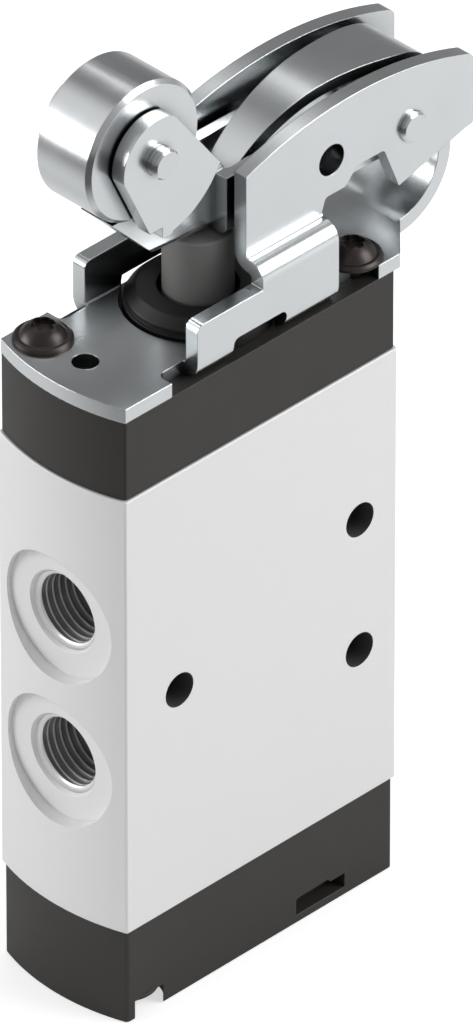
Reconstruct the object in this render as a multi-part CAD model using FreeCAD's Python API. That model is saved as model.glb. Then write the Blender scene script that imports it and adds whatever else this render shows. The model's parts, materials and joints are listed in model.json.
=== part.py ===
import FreeCAD, Part
import math
import os

# Roller lever air valve, five G1/4 ports, two positions.
# Millimetres. Z is up, X runs across the narrow width, Y runs from the two-port face (-Y)
# to the three-port face (+Y). The origin is the centre of the bottom face.

V = FreeCAD.Vector

# Housing
body_width = 27.2
body_height = 80.0
depth_at_corners = 57.7
end_bulge = 2.35
body_corner_radius = 0.45
cap_corner_radius = 0.8
cap_inset = 0.35
bottom_cap_height = 16.7
top_cap_height = 13.9
gasket_thick = 0.3
gasket_inset = 0.9
rim_chamfer = 0.15

# Ports, G1/4
port_major_d = 13.157
port_mouth_d = 14.0
port_mouth_depth = 0.5
port_thread_depth = 11.0
port_spotface_d = 22.3
port_spotface_depth = 2.3
port_drill_d = 8.0
port_pitch = 26.6
window_height = 6.4

# Mounting holes through the width, for M5
mount_d = 5.9
mount_front_setback = 11.25
mount_rear_setback = 7.85
mount_rear_spacing = 24.2

# Spool, seal stack and return spring
bore_d = 17.0
stack_clearance = 0.04
cage_wall = 1.8
seal_section = 2.2
seal_edge = 0.4
land_d = 12.0
land_edge = 0.5
land_clearance = 0.05
stem_d = 8.0
land_length = 11.3
end_land_length = 9.0
spool_below_body = 5.0
travel = 4.0
spring_wire = 1.1
spring_mean_d = 9.6
spring_turns = 6
spring_pocket_d = 13.0
spring_floor = 5.0
contact_gap = 0.05

# Plunger and its guide collar
plunger_d = 11.0
plunger_rise = 13.2
plunger_edge = 0.2
dome_radius = 33.0
shoulder_d = 14.0
shoulder_height = 2.4
collar_flange_d = 22.8
collar_flange_height = 2.8
collar_body_d = 21.8
collar_top_d = 18.8
collar_shoulder_rise = 1.2
collar_rise = 2.7
collar_mouth_d = 12.6
collar_mouth_depth = 2.4
spigot_d = 18.0
spigot_clearance = 0.05
guide_clearance = 0.05
wiper_height = 0.9
wiper_lip = 0.3

# Screws, M4 with a flanged button head
screw_d = 4.0
screw_hole_d = 4.5
screw_side_setback = 4.9
screw_end_setback = 4.75
base_screw_end_setback = 4.95
flange_d = 9.3
flange_thick = 0.9
button_d = 7.4
button_height = 2.3
socket_across = 2.5
socket_lobe_d = 1.5
socket_depth = 1.4
screw_engagement = 9.0
screw_tip = 0.4
thread_clearance = 0.04
counterbore_d = 10.9
counterbore_depth = 3.3

# Slot in the flat right side of the bottom cap
slot_front_y = 7.8
slot_step_y = 15.3
slot_rear_y = 18.35
slot_low = 1.35
slot_high = 4.6
slot_step = 0.65
slot_depth = 3.0
slot_radius = 0.7

# Bracket, one formed sheet
sheet = 2.5
bend_inner = 0.5
bend_outer = bend_inner + sheet
ear_setback = 3.6
wall_front_y = -13.3
wall_rear_y = 16.65
low_wall_rise = 7.55
low_wall_radius = 1.3
shoulder_rise = 11.6
plate_hole_d = 24.2
window_half_width = 5.6
window_rise = 1.5
window_radius = 1.1
pilot_hole_d = 4.2
pilot_hole_y = -23.8
relief_depth = 3.1
relief_radius = 1.3
front_relief = 5.4
rear_relief = 8.55
rear_tab = 0.95
tongue_half_width = 6.9
tongue_radius = 9.0
tongue_centre_y = 35.4
tongue_rise = 11.5

# Ears of the bracket; a rise is a height above the plate
ear_front_y = 0.55
ear_rear_y = 49.05
ear_top_radius = 68.0
ear_top_y = 23.9
ear_top_rise = 30.25
ear_top_corner = 1.8
ear_heel_rise = 12.8
ear_heel_y = 47.6
ear_heel_radius = 0.8
tooth_y = 33.1
tooth_rise = 9.0
tooth_root_y = 29.9
arch_rise = 17.0
arch_front_y = 24.2
arch_radius = 0.9
step_y = 21.6
step_rise = 14.35
step_radius = 0.8
throat_y = 17.4
spare_hole_y = 18.65
spare_hole_rise = 20.65
spare_hole_d = 5.3

# Pivot of the lever
pivot_y = 35.7
pivot_rise = 18.65
pin_d = 5.0
pin_proud = 1.0
pin_clearance = 0.05
pin_edge = 0.3
washer_play = 0.06
pivot_washer_d = 9.0

# Lever, a formed channel with an arched strap
lever_sheet = 2.0
lever_play = 1.05
lever_bend = 1.7
nose_half_width = 3.35
step_front_y = -0.1
lever_top_rise = 24.5
nose_top_rise = 24.95
nose_front_y = -21.4
chin_y = -12.1
chin_radius = 1.6
floor_rear_y = 21.0
tail_y = 27.0
tail_drop = 6.1
lever_slope = math.radians(5.7)
strap_thick = 2.0
strap_foot_gap = 0.3
strap_front_half = 2.6
strap_rear_half = 5.4
strap_peak_y = 25.0
strap_peak_rise = 30.2
strap_front_radius = 29.0
strap_rear_radius = 10.3
strap_end_angle = math.radians(-48.0)

# Roller, its fork and pin
roller_y = -16.9
roller_rise = 37.3
roller_d = 23.5
roller_half_width = 5.75
roller_edge = 0.7
roller_bore_d = 8.0
bush_wall_clearance = 0.02
bush_clearance = 0.05
roller_washer_d = 10.0
fork_sheet = 2.5
fork_gap = 0.45
hub_radius = 7.25
sector_radius = 14.5
sector_start = math.radians(-79.0)
sector_end = math.radians(-26.6)
hub_top_angle = math.radians(62.0)
hub_left_angle = math.radians(188.0)
toe_y = -18.7
toe_rise = 24.75
bar_front_y = -16.1
bar_rear_y = -13.9
bar_under_rise = 22.6
bar_height = 2.3
bar_edge = 0.5
roller_pin_proud = 2.0
groove_back = 1.3
groove_width = 0.35
groove_depth = 0.15

# Heights that follow from the sizes above
body_bottom = bottom_cap_height + gasket_thick
body_top = body_bottom + body_height
cap_top = body_top + gasket_thick + top_cap_height
plate_top = cap_top + sheet
body_mid = (body_bottom + body_top) / 2.0
half_depth = depth_at_corners / 2.0
half_width = body_width / 2.0
plate_half_width = half_width - cap_inset
screw_x = half_width - screw_side_setback
screw_y = half_depth - screw_end_setback
base_screw_y = half_depth - base_screw_end_setback
mount_front_y = mount_front_setback - half_depth
mount_rear_y = half_depth - mount_rear_setback
ear_outer_x = plate_half_width - ear_setback
ear_inner_x = ear_outer_x - sheet
lever_half_width = ear_inner_x - lever_play
lever_end_radius = strap_rear_radius - strap_thick
strap_foot_y = step_front_y + lever_sheet + strap_foot_gap


def outline(start, steps):
    """A closed wire in the plane of two numbers: a step of one point is a line, of two an arc."""
    edges = []
    here = V(start[0], start[1], 0)
    for step in steps:
        if isinstance(step[0], tuple):
            middle = V(step[0][0], step[0][1], 0)
            end = V(step[1][0], step[1][1], 0)
            edges.append(Part.Arc(here, middle, end).toShape())
        else:
            end = V(step[0], step[1], 0)
            edges.append(Part.LineSegment(here, end).toShape())
        here = end
    first = V(start[0], start[1], 0)
    if (here - first).Length > 1e-6:
        edges.append(Part.LineSegment(here, first).toShape())
    return Part.Wire(edges)


def rounded(corners):
    """A closed wire through corners of two numbers and a radius; a radius of 0 leaves it sharp."""
    steps = []
    count = len(corners)
    for i in range(count):
        before = V(corners[i - 1][0], corners[i - 1][1], 0)
        here = V(corners[i][0], corners[i][1], 0)
        after = V(corners[(i + 1) % count][0], corners[(i + 1) % count][1], 0)
        radius = corners[i][2]
        if radius == 0:
            steps.append((here.x, here.y))
            continue
        back = (before - here).normalize()
        ahead = (after - here).normalize()
        half = back.getAngle(ahead) / 2.0
        reach = radius / math.tan(half)
        centre = here + (back + ahead).normalize() * (radius / math.sin(half))
        middle = centre + (here - centre).normalize() * radius
        start = here + back * reach
        end = here + ahead * reach
        steps.append((start.x, start.y))
        steps.append(((middle.x, middle.y), (end.x, end.y)))
    first = steps.pop(0)
    return outline(first, steps)


def around(centre, radius, angle):
    return (centre[0] + radius * math.cos(angle), centre[1] + radius * math.sin(angle))


def sweep(centre, radius, start, end):
    """Middle and end of an arc given by its angles."""
    return (around(centre, radius, (start + end) / 2.0), around(centre, radius, end))


def bend(centre, radius, quarter):
    """Middle and end of a quarter bend that ends at this many right angles."""
    end = math.radians(90.0 * quarter[1])
    start = math.radians(90.0 * quarter[0])
    return sweep(centre, radius, start, end)


def prism_up(wire, low, high):
    """The wire's two numbers are X and Y; the solid stands from low to high."""
    face = Part.Face(wire)
    face.translate(V(0, 0, low))
    return face.extrude(V(0, 0, high - low))


def prism_across(wire, low, high):
    """The wire's two numbers are Y and Z; the solid runs along X from low to high."""
    face = Part.Face(wire)
    face.rotate(V(0, 0, 0), V(1, 1, 1), 120)
    face.translate(V(low, 0, 0))
    return face.extrude(V(high - low, 0, 0))


def prism_along(wire, low, high):
    """The wire's two numbers are X and Z; the solid runs along Y from low to high."""
    face = Part.Face(wire)
    face.rotate(V(0, 0, 0), V(1, 0, 0), 90)
    face.translate(V(0, high, 0))
    return face.extrude(V(0, low - high, 0))


def upright(diameter, low, high, x=0.0, y=0.0):
    return Part.makeCylinder(diameter / 2.0, high - low, V(x, y, low), V(0, 0, 1))


def crosswise(diameter, low, high, y, z):
    return Part.makeCylinder(diameter / 2.0, high - low, V(low, y, z), V(1, 0, 0))


def turned(wire):
    """A solid of revolution about Z; the wire's two numbers are radius and height."""
    face = Part.Face(wire)
    face.rotate(V(0, 0, 0), V(1, 0, 0), 90)
    return face.revolve(V(0, 0, 0), V(0, 0, 1), 360)


def ring(inner, outer, low, high):
    return turned(outline((inner, low), [(outer, low), (outer, high), (inner, high)]))


def box(x0, x1, y0, y1, z0, z1):
    return Part.makeBox(x1 - x0, y1 - y0, z1 - z0, V(x0, y0, z0))


def mirrored(shape):
    return shape.mirror(V(0, 0, 0), V(1, 0, 0))


def edges_across(shape, y, z, reach=0.3):
    """Edges along X that pass near this Y and Z."""
    found = []
    for edge in shape.Edges:
        span = edge.BoundBox
        if span.YLength < 1e-4 and span.ZLength < 1e-4:
            if abs(span.YMin - y) < reach and abs(span.ZMin - z) < reach:
                found.append(edge)
    return found


def group(shapes):
    return Part.Compound(shapes)


def housing_outline(inset):
    """Plan of the housing: flat sides and bowed port faces."""
    side = half_width - inset
    corner_y = half_depth - inset
    crown = corner_y + end_bulge
    return outline(
        (side, -corner_y),
        [
            (side, corner_y),
            ((0.0, crown), (-side, corner_y)),
            (-side, -corner_y),
            ((0.0, -crown), (side, -corner_y)),
        ],
    )


def housing_block(inset, low, high, radius, edge=0.0):
    block = prism_up(housing_outline(inset), low, high)
    uprights = [e for e in block.Edges if abs(e.BoundBox.ZLength - (high - low)) < 1e-6]
    block = block.makeFillet(radius, uprights)
    if edge > 0.0:
        rims = [e for e in block.Edges if e.BoundBox.ZLength < 1e-6]
        block = block.makeChamfer(edge, rims)
    return block


def top_screw_places():
    """The bracket's screws stand on one diagonal of the housing."""
    return [(-screw_x, -screw_y), (screw_x, screw_y)]


def bottom_screw_places():
    """The bottom cap's screws stand on the other diagonal."""
    return [(screw_x, -base_screw_y), (-screw_x, base_screw_y)]


def port_faces():
    """Every port as its side of the body (-1 front, 1 rear) and its height."""
    front = [(-1, body_mid + port_pitch / 2.0), (-1, body_mid - port_pitch / 2.0)]
    rear = [(1, body_mid + port_pitch), (1, body_mid), (1, body_mid - port_pitch)]
    return front + rear


def port_cut(side, height):
    """Spotface, countersunk mouth, thread bore and drilled passage of one port."""
    seat = half_depth + end_bulge - port_spotface_depth
    mouth = port_mouth_d / 2.0
    thread = port_major_d / 2.0
    drill = port_drill_d / 2.0
    floor = seat - port_thread_depth
    profile = outline(
        (0.0, bore_d / 4.0),
        [
            (drill, bore_d / 4.0),
            (drill, floor),
            (thread, floor),
            (thread, seat - port_mouth_depth),
            (mouth, seat),
            (port_spotface_d / 2.0, seat),
            (port_spotface_d / 2.0, seat + 2.0 * end_bulge),
            (0.0, seat + 2.0 * end_bulge),
        ],
    )
    cut = turned(profile)
    cut.rotate(V(0, 0, 0), V(1, 0, 0), -90.0 * side)
    cut.translate(V(0, 0, height))
    return cut


def mount_places():
    """Mounting holes as pairs of Y and Z."""
    half = mount_rear_spacing / 2.0
    return [
        (mount_front_y, body_mid),
        (mount_rear_y, body_mid + half),
        (mount_rear_y, body_mid - half),
    ]


def valve_body():
    block = housing_block(0.0, body_bottom, body_top, body_corner_radius, rim_chamfer)
    block = block.cut(upright(bore_d, body_bottom - sheet, body_top + sheet))
    for side, height in port_faces():
        block = block.cut(port_cut(side, height))
    for y, z in mount_places():
        block = block.cut(crosswise(mount_d, -body_width, body_width, y, z))
    thread = screw_d + 2.0 * thread_clearance
    depth = screw_engagement + screw_tip
    for x, y in top_screw_places():
        block = block.cut(upright(thread, body_top - depth, body_top + sheet, x, y))
    for x, y in bottom_screw_places():
        block = block.cut(upright(thread, body_bottom - sheet, body_bottom + depth, x, y))
    return block


def top_cap():
    low = body_top + gasket_thick
    block = housing_block(cap_inset, low, cap_top, body_corner_radius)
    block = block.cut(upright(spigot_d + 2.0 * spigot_clearance, body_top, plate_top))
    for x, y in top_screw_places():
        block = block.cut(upright(screw_hole_d, body_top, plate_top, x, y))
    return block


def side_slot():
    """The slot in the right side of the bottom cap, lower over its rear end."""
    wire = rounded(
        [
            (slot_front_y, slot_low, 0),
            (slot_rear_y, slot_low, 0),
            (slot_rear_y, slot_high - slot_step, 0),
            (slot_step_y, slot_high - slot_step, 0),
            (slot_step_y - slot_step, slot_high, 0),
            (slot_front_y, slot_high, slot_radius),
        ]
    )
    return prism_across(wire, plate_half_width - slot_depth, body_width)


def bottom_cap():
    """A plain block; the counterbores of its screws break out through the flat sides."""
    block = housing_block(cap_inset, 0.0, bottom_cap_height, cap_corner_radius)
    block = block.cut(upright(spring_pocket_d, spring_floor, body_bottom))
    block = block.cut(side_slot())
    for x, y in bottom_screw_places():
        block = block.cut(upright(screw_hole_d, -sheet, body_bottom, x, y))
        block = block.cut(upright(counterbore_d, -sheet, counterbore_depth, x, y))
    return block


def gasket(low, places):
    plate = housing_block(gasket_inset, low, low + gasket_thick, body_corner_radius)
    plate = plate.cut(upright(spigot_d + 2.0 * spigot_clearance, low - sheet, low + sheet))
    for x, y in places:
        plate = plate.cut(upright(screw_hole_d, low - sheet, low + sheet, x, y))
    return plate


def top_gasket():
    return gasket(body_top, top_screw_places())


def bottom_gasket():
    return gasket(bottom_cap_height, bottom_screw_places())


def wiper_top():
    return plate_top + collar_rise - collar_mouth_depth


def guide_collar():
    """Flange and raised lip on the cap, and a spigot that guides the plunger."""
    guide = plunger_d / 2.0 + guide_clearance
    mouth = collar_mouth_d / 2.0
    top = plate_top + collar_rise
    wiper_floor = wiper_top() - wiper_height
    spigot_bottom = body_top + gasket_thick + shoulder_height + 2.0 * contact_gap
    flange_top = cap_top + collar_flange_height
    profile = outline(
        (guide, spigot_bottom),
        [
            (spigot_d / 2.0, spigot_bottom),
            (spigot_d / 2.0, cap_top),
            (collar_flange_d / 2.0, cap_top),
            (collar_flange_d / 2.0, flange_top),
            (collar_body_d / 2.0, flange_top),
            (collar_body_d / 2.0, plate_top + collar_shoulder_rise),
            (collar_top_d / 2.0, top),
            (mouth, top),
            (mouth, wiper_floor),
            (guide, wiper_floor),
        ],
    )
    return turned(profile)


def wiper_ring():
    """The wiper lies in the floor of the collar's mouth, round the plunger."""
    top = wiper_top()
    low = top - wiper_height
    outer = collar_mouth_d / 2.0 - stack_clearance
    inner = plunger_d / 2.0 + guide_clearance
    profile = outline(
        (inner, low),
        [(outer, low), (outer, top), (inner + wiper_lip, top), (inner, top - wiper_lip)],
    )
    return turned(profile)


def dome_centre():
    """Height of the centre of the plunger's domed head."""
    head = plunger_d / 2.0 - plunger_edge
    return plate_top + plunger_rise + plunger_edge - math.sqrt(dome_radius ** 2 - head ** 2)


def plunger():
    """A plain stem with a domed head, and a shoulder that stops it under the collar."""
    radius = plunger_d / 2.0
    rim = plate_top + plunger_rise
    low = body_top + gasket_thick
    head = radius - plunger_edge
    centre = (0.0, dome_centre())
    edge_angle = math.acos(head / dome_radius)
    profile = outline(
        (0.0, low),
        [
            (shoulder_d / 2.0, low),
            (shoulder_d / 2.0, low + shoulder_height),
            (radius, low + shoulder_height),
            (radius, rim),
            (head, rim + plunger_edge),
            sweep(centre, dome_radius, edge_angle, math.pi / 2.0),
        ],
    )
    return turned(profile)


def seal_heights():
    """Middle of each seal: one between every two ports, and one beyond each end port."""
    half = port_pitch / 2.0
    return [body_mid + half * (i - 2.5) for i in range(6)]


def spool_seals():
    outer = bore_d / 2.0 - stack_clearance
    inner = land_d / 2.0 + land_clearance
    half = seal_section / 2.0
    rings = []
    for middle in seal_heights():
        profile = rounded(
            [
                (inner, middle - half, seal_edge),
                (outer, middle - half, 0),
                (outer, middle + half, 0),
                (inner, middle + half, seal_edge),
            ]
        )
        rings.append(turned(profile))
    return group(rings)


def seal_cages():
    """Spacer cages between the seals, each with four windows."""
    outer = bore_d / 2.0 - stack_clearance
    inner = bore_d / 2.0 - cage_wall
    half = window_height / 2.0
    middles = seal_heights()
    cages = []
    for lower, upper in zip(middles[:-1], middles[1:]):
        low = lower + seal_section / 2.0
        high = upper - seal_section / 2.0
        cage = ring(inner, outer, low, high)
        centre = (low + high) / 2.0
        for turn in (0.0, 90.0):
            window = box(-half, half, -bore_d, bore_d, centre - half, centre + half)
            window.rotate(V(0, 0, 0), V(0, 0, 1), turn)
            cage = cage.cut(window)
        cages.append(cage)
    return group(cages)


def spool():
    """A stem with a land at each end and one at each front port's height."""
    top = body_top + gasket_thick - contact_gap
    low = body_bottom + spool_below_body
    land = land_d / 2.0
    stem = stem_d / 2.0
    bodies = [upright(stem_d, low, top)]
    spans = [(low, low + end_land_length), (top - end_land_length, top)]
    for side in (-1, 1):
        middle = body_mid + side * port_pitch / 2.0 + travel / 2.0
        spans.append((middle - land_length / 2.0, middle + land_length / 2.0))
    for start, end in spans:
        profile = outline(
            (0.0, start),
            [
                (land - land_edge, start),
                (land, start + land_edge),
                (land, end - land_edge),
                (land - land_edge, end),
                (0.0, end),
            ],
        )
        bodies.append(turned(profile))
    return bodies[0].multiFuse(bodies[1:]).removeSplitter()


def return_spring():
    """Coil between the floor of the bottom cap and the spool, of wire drawn with eight flats."""
    half_wire = spring_wire / 2.0
    low = spring_floor + half_wire + contact_gap
    high = body_bottom + spool_below_body - half_wire - contact_gap
    radius = spring_mean_d / 2.0
    path = Part.makeHelix((high - low) / spring_turns, high - low, radius)
    corners = []
    for i in range(9):
        y, z = around((radius, 0.0), half_wire, math.radians(45.0 * i))
        corners.append(V(y, 0, z))
    section = Part.makePolygon(corners)
    coil = Part.Wire(path).makePipeShell([section], True, True)
    coil.translate(V(0, 0, low))
    return coil


def side_wall_section():
    """One side wall in section, from the bend at the plate through the joggle to the ear."""
    base = plate_half_width - bend_outer
    foot = plate_top + bend_inner
    shelf = plate_top + shoulder_rise
    crown = shelf - bend_outer
    step = ear_outer_x + bend_inner
    turn = shelf + bend_inner
    top = turn + sheet
    return outline(
        (base, cap_top),
        [
            bend((base, foot), bend_outer, (-1, 0)),
            (plate_half_width, crown),
            bend((base, crown), bend_outer, (0, 1)),
            (step, shelf),
            bend((step, turn), bend_inner, (-1, -2)),
            (ear_outer_x, top),
            (ear_inner_x, top),
            (ear_inner_x, turn),
            bend((step, turn), bend_outer, (2, 3)),
            (base, shelf - sheet),
            bend((base, crown), bend_inner, (1, 0)),
            (base + bend_inner, foot),
            bend((base, foot), bend_inner, (0, -1)),
        ],
    )


def side_wall():
    """The formed wall, lower in front of the ear, with its collar window."""
    wall = prism_along(side_wall_section(), wall_front_y, wall_rear_y)
    low_top = plate_top + low_wall_rise
    high = plate_top + 3.0 * shoulder_rise
    wall = wall.cut(box(0.0, body_width, wall_front_y - sheet, ear_front_y, low_top, high))
    wall = wall.makeFillet(low_wall_radius, edges_across(wall, wall_front_y, low_top))
    low = cap_top - sheet
    top = plate_top + window_rise
    window = rounded(
        [
            (-window_half_width, low, 0),
            (window_half_width, low, 0),
            (window_half_width, top, window_radius),
            (-window_half_width, top, window_radius),
        ]
    )
    return wall.cut(prism_across(window, plate_half_width - bend_outer - bend_inner, body_width))


def ear():
    """The flat ear that holds the pivot pin, with its arch, hooked tooth and curved top."""
    z = plate_top
    foot = z + shoulder_rise + bend_inner
    above = z + ear_top_rise + sheet
    wire = rounded(
        [
            (ear_front_y, foot, 0),
            (ear_front_y, above, 0),
            (ear_rear_y, above, 0),
            (ear_rear_y, z + ear_heel_rise, ear_heel_radius),
            (ear_heel_y, z + ear_heel_rise, 0),
            (tooth_y, z + tooth_rise, 0),
            (tooth_root_y, z + arch_rise, arch_radius),
            (arch_front_y, z + arch_rise, arch_radius),
            (step_y, z + step_rise, step_radius),
            (throat_y, z + step_rise, step_radius),
            (wall_rear_y, foot, 0),
        ]
    )
    plate = prism_across(wire, ear_inner_x, ear_outer_x)
    arc_z = z + ear_top_rise - ear_top_radius
    plate = plate.common(crosswise(2.0 * ear_top_radius, 0.0, body_width, ear_top_y, arc_z))
    corner_z = arc_z + math.sqrt(ear_top_radius ** 2 - (ear_rear_y - ear_top_y) ** 2)
    plate = plate.makeFillet(ear_top_corner, edges_across(plate, ear_rear_y, corner_z))
    plate = plate.cut(crosswise(spare_hole_d, 0.0, body_width, spare_hole_y, z + spare_hole_rise))
    return plate.cut(crosswise(pin_d, 0.0, body_width, pivot_y, z + pivot_rise))


def bracket_plate():
    """The base plate: bowed front edge, bend reliefs, rear tabs and the collar's hole."""
    edge = plate_half_width
    bend_start = edge - bend_outer
    slot = edge - relief_depth
    front = wall_front_y - front_relief
    rear = wall_rear_y + rear_relief
    tab = half_depth + rear_tab
    tongue_corner = tab + edge - tongue_half_width
    ahead = -2.0 * half_depth
    half = rounded(
        [
            (0.0, ahead, 0),
            (edge, ahead, 0),
            (edge, front, 0),
            (slot, front, relief_radius),
            (slot, wall_front_y, 0),
            (bend_start, wall_front_y, 0),
            (bend_start, wall_rear_y, 0),
            (slot, wall_rear_y, 0),
            (slot, rear, relief_radius),
            (edge, rear, 0),
            (edge, tab, 0),
            (tongue_half_width, tongue_corner, 0),
            (tongue_half_width, tongue_centre_y, 0),
            (0.0, tongue_centre_y, 0),
        ]
    )
    right = prism_up(half, cap_top, plate_top)
    whole = right.fuse(mirrored(right))
    bow = prism_up(housing_outline(cap_inset), cap_top, plate_top)
    rear_part = box(-body_width, body_width, 0.0, 2.0 * half_depth, cap_top, plate_top)
    return whole.common(bow.fuse(rear_part))


def bracket_tongue():
    """The tongue behind the ears, curled up from the plate."""
    centre = (tongue_centre_y, plate_top + tongue_radius)
    outer = tongue_radius + sheet
    wire = outline(
        (tongue_centre_y, plate_top),
        [
            bend(centre, tongue_radius, (-1, 0)),
            (tongue_centre_y + tongue_radius, plate_top + tongue_rise),
            (tongue_centre_y + outer, plate_top + tongue_rise),
            (tongue_centre_y + outer, centre[1]),
            bend(centre, outer, (0, -1)),
        ],
    )
    return prism_across(wire, -tongue_half_width, tongue_half_width)


def bracket():
    side = side_wall().fuse(ear())
    whole = bracket_plate().multiFuse([side, mirrored(side), bracket_tongue()])
    whole = whole.cut(upright(plate_hole_d, cap_top - sheet, plate_top + window_rise))
    whole = whole.cut(upright(pilot_hole_d, cap_top - sheet, plate_top + sheet, 0.0, pilot_hole_y))
    for x, y in top_screw_places():
        whole = whole.cut(upright(screw_hole_d, cap_top - sheet, plate_top + sheet, x, y))
    return whole.removeSplitter()


def button_screw(shank_length):
    """Flanged button head with a six-lobed socket; the flange bears on the plane Z = 0."""
    ball = (button_d ** 2 / 4.0 + button_height ** 2) / (2.0 * button_height)
    rim_angle = math.acos(button_d / 2.0 / ball)
    top = flange_thick + button_height
    shank = screw_d / 2.0
    flange = flange_d / 2.0
    profile = outline(
        (0.0, -shank_length),
        [
            (shank - screw_tip, -shank_length),
            (shank, screw_tip - shank_length),
            (shank, 0.0),
            (flange, 0.0),
            (flange, flange_thick - screw_tip),
            (flange - screw_tip, flange_thick),
            (button_d / 2.0, flange_thick),
            sweep((0.0, top - ball), ball, rim_angle, math.pi / 2.0),
        ],
    )
    screw = turned(profile)
    floor = top - socket_depth
    socket = upright(socket_across, floor, top + sheet)
    for i in range(6):
        x, y = around((0.0, 0.0), socket_across / 2.0, math.radians(60.0 * i))
        socket = socket.fuse(upright(socket_lobe_d, floor, top + sheet, x, y))
    return screw.cut(socket)


def bracket_screws():
    screws = []
    for x, y in top_screw_places():
        screw = button_screw(plate_top - body_top + screw_engagement)
        screw.translate(V(x, y, plate_top))
        screws.append(screw)
    return group(screws)


def bottom_cap_screws():
    screws = []
    for x, y in bottom_screw_places():
        screw = button_screw(body_bottom - counterbore_depth + screw_engagement)
        screw.rotate(V(0, 0, 0), V(1, 0, 0), 180)
        screw.translate(V(x, y, counterbore_depth))
        screws.append(screw)
    return group(screws)


def chamfered_pin(reach, y, z):
    pin = crosswise(pin_d, -reach, reach, y, z)
    ends = [e for e in pin.Edges if e.BoundBox.XLength < 1e-6]
    return pin.makeChamfer(pin_edge, ends)


def pivot_pin():
    """The lever's pin: held in both ears, a little proud of each."""
    return chamfered_pin(ear_outer_x + pin_proud, pivot_y, plate_top + pivot_rise)


def washer_pair(inner_face, outer_face, diameter, y, z):
    """Two thin washers on a pin, each with play on both of its faces."""
    low = inner_face + washer_play
    high = outer_face - washer_play
    washer = crosswise(diameter, low, high, y, z)
    washer = washer.cut(crosswise(pin_d + 2.0 * pin_clearance, 0.0, body_width, y, z))
    return group([washer, mirrored(washer)])


def pivot_washers():
    z = plate_top + pivot_rise
    return washer_pair(lever_half_width, ear_inner_x, pivot_washer_d, pivot_y, z)


def roller_washers():
    z = plate_top + roller_rise
    cheek = roller_half_width + fork_gap
    return washer_pair(roller_half_width, cheek, roller_washer_d, roller_y, z)


def lever_line(y):
    """Height of the channel's sloping underside, which rests on the plunger's dome."""
    level = dome_centre() + (dome_radius + contact_gap) / math.cos(lever_slope)
    return level - y * math.tan(lever_slope)


def nose_front(height, inset):
    """Y of the nose's sloping front face at a height, or of its inner face for an inset."""
    chin_z = lever_line(chin_y)
    run = (chin_y - nose_front_y) / (plate_top + nose_top_rise - chin_z)
    return chin_y - (height - chin_z) * run + inset * math.sqrt(1.0 + run ** 2)


def channel_side(half, top, radius):
    """Prism of the channel's side outline, with this radius at the chin."""
    tail = plate_top + pivot_rise - tail_drop
    rear = pivot_y + 2.0 * lever_end_radius
    side = rounded(
        [
            (nose_front(top, 0.0), top, 0),
            (chin_y, lever_line(chin_y), radius),
            (floor_rear_y, lever_line(floor_rear_y), 0),
            (tail_y, tail, 0),
            (rear, tail, 0),
            (rear, top, 0),
        ]
    )
    return prism_across(side, -half, half)


def channel_block(half, front, top):
    """Solid of the channel back from one Y, with both lower edges bent round."""
    block = channel_side(half, top, 0)
    block = block.common(box(-half, half, front, 3.0 * pivot_y, cap_top, top))
    rims = []
    for edge in block.Edges:
        middle = edge.CenterOfMass
        if abs(middle.z - lever_line(middle.y)) < 1e-3 and abs(middle.x) > half - 1e-3:
            rims.append(edge)
    return block.makeFillet(lever_bend, rims).common(channel_side(half, top, chin_radius))


def channel_hollow(half, front, top):
    """Space inside the channel's sheet: over its floor, open above and at the rear."""
    rear = 2.0 * pivot_y + half_depth
    high = top + lever_sheet
    floor_front = nose_front(lever_line(chin_y) + lever_sheet, lever_sheet)
    side = rounded(
        [
            (nose_front(high, lever_sheet), high, 0),
            (floor_front, lever_line(floor_front) + lever_sheet, 0),
            (floor_rear_y, lever_line(floor_rear_y) + lever_sheet, 0),
            (floor_rear_y, cap_top, 0),
            (rear, cap_top, 0),
            (rear, high, 0),
        ]
    )
    inside = half - lever_sheet
    hollow = prism_across(side, -inside, inside)
    return hollow.common(box(-inside, inside, front, rear, cap_top, high))


def lever_channel():
    """Channel of one sheet: nose under the roller, floor on the plunger, rounded pivot end."""
    z = plate_top + pivot_rise
    nose_top = plate_top + nose_top_rise
    lever_top = plate_top + lever_top_rise
    inner_y = step_front_y + lever_sheet
    nose = channel_block(nose_half_width, nose_front_y, nose_top)
    nose = nose.cut(box(-body_width, body_width, inner_y, 3.0 * pivot_y, cap_top, 2.0 * nose_top))
    wide = channel_block(lever_half_width, step_front_y, lever_top)
    whole = nose.fuse(wide)
    whole = whole.cut(channel_hollow(nose_half_width, nose_front_y, nose_top))
    whole = whole.cut(channel_hollow(lever_half_width, inner_y, lever_top))
    beyond = box(-body_width, body_width, pivot_y, 3.0 * pivot_y, cap_top, 2.0 * lever_top)
    end = crosswise(2.0 * lever_end_radius, -body_width, body_width, pivot_y, z)
    whole = whole.cut(beyond.cut(end))
    notch_low = plate_top + bar_under_rise
    notch = box(-body_width, body_width, bar_front_y, bar_rear_y, notch_low, 2.0 * nose_top)
    bore = pin_d + 2.0 * pin_clearance
    whole = whole.cut(notch).cut(crosswise(bore, -body_width, body_width, pivot_y, z))
    return whole.removeSplitter()


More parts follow.
